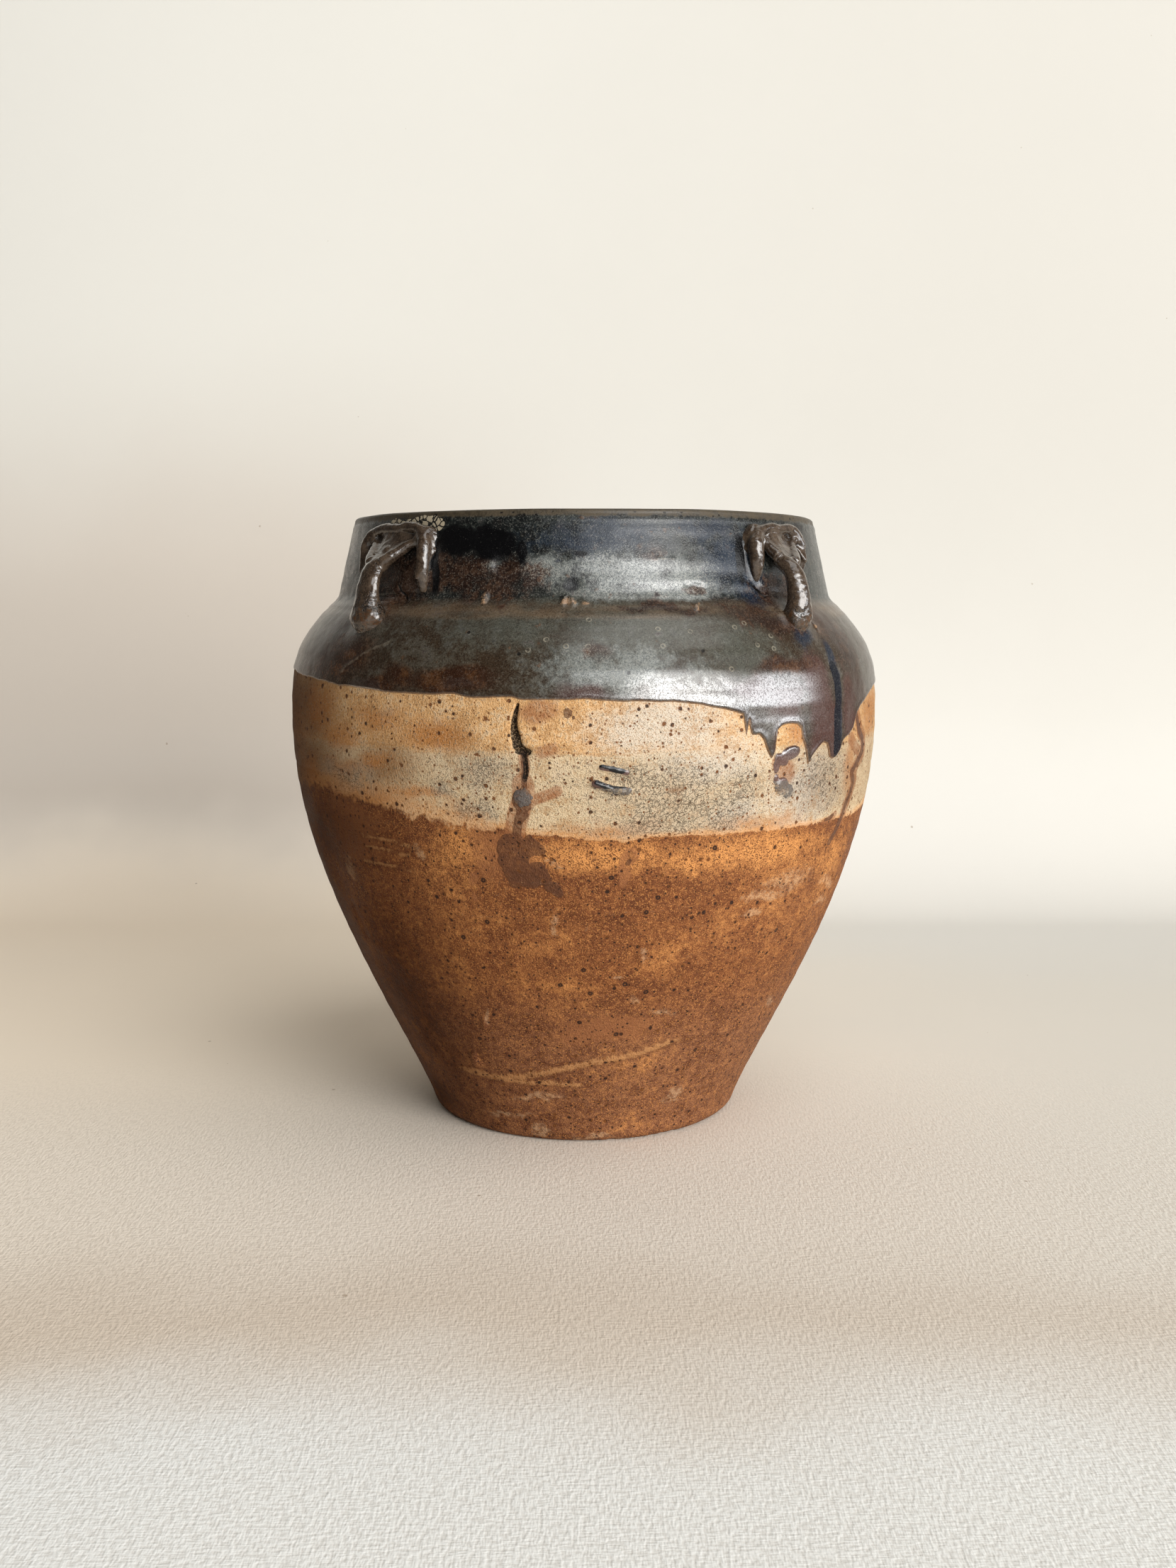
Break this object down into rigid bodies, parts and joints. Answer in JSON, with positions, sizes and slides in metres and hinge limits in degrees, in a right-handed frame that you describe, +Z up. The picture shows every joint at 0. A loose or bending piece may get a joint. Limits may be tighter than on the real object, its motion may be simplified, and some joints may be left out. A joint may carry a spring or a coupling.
{
  "type": "confit pot",
  "caption": "Wide-mouthed stoneware storage jar: flared body, rounded shoulder, short leaning collar with a flat rim, and pressed-on cord lugs.",
  "frame": {"origin": "centre of the foot, on the plane the pot stands on", "axes": "+Z up along the pot's turning axis; -Y is the pictured front, between two of the lugs; +X is the viewer's right"},
  "size_m": [0.267, 0.267, 0.27],
  "materials": {
    "bare_stoneware": "unglazed stoneware, rust brown below and buff above, with fine iron specks",
    "glazed_shoulder": "dark olive and brown glaze on the shoulder over bare buff clay on the belly",
    "dark_glaze": "glossy brown-black glaze with grey and blue breaks",
    "brown_glaze": "glossy brown glaze, thin and lighter on edges"
  },
  "bodies": {
    "root": {"lower_body": "bare_stoneware", "upper_body": "glazed_shoulder", "neck_collar": "dark_glaze", "lug_pad_front_left": "dark_glaze", "lug_pad_front_right": "dark_glaze", "lug_pad_back_left": "dark_glaze", "lug_pad_back_right": "dark_glaze", "lug_loop_front_left": "brown_glaze", "lug_loop_front_right": "brown_glaze", "lug_loop_back_left": "brown_glaze", "lug_loop_back_right": "brown_glaze"}
  },
  "joints": []
}
